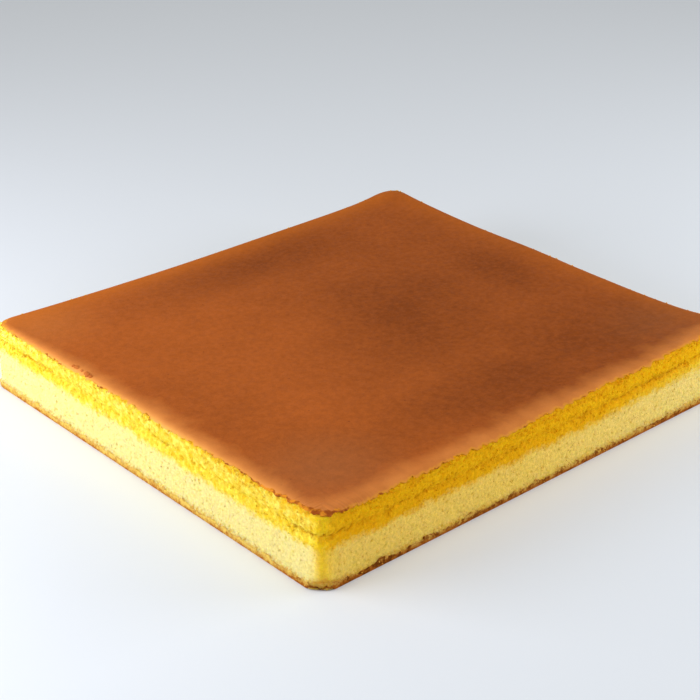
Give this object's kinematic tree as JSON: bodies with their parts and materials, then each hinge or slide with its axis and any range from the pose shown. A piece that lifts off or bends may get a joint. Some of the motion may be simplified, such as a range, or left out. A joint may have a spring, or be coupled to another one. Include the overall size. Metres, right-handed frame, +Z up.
{
  "type": "castella sponge cake",
  "caption": "Whole uncut castella sheet: a flat rectangular egg sponge with a browned top crust, a deep yellow band over pale crumb and a thin browned base.",
  "frame": {"origin": "middle of the flat underside", "axes": "+X along the long side, +Y along the short side, +Z up out of the browned top"},
  "size_m": [0.381, 0.351, 0.0547],
  "materials": {
    "sponge": "fine open egg-sponge crumb, deep yellow in the upper band and pale yellow below, matt, softly translucent",
    "top_crust": "thin smooth browned crust, reddish brown, softly mottled, paler at the rolled rim, satin",
    "base_crust": "thin browned base skin, amber to dark brown, rough and matt"
  },
  "bodies": {
    "root": {"castella_sponge": "sponge"}
  },
  "joints": []
}
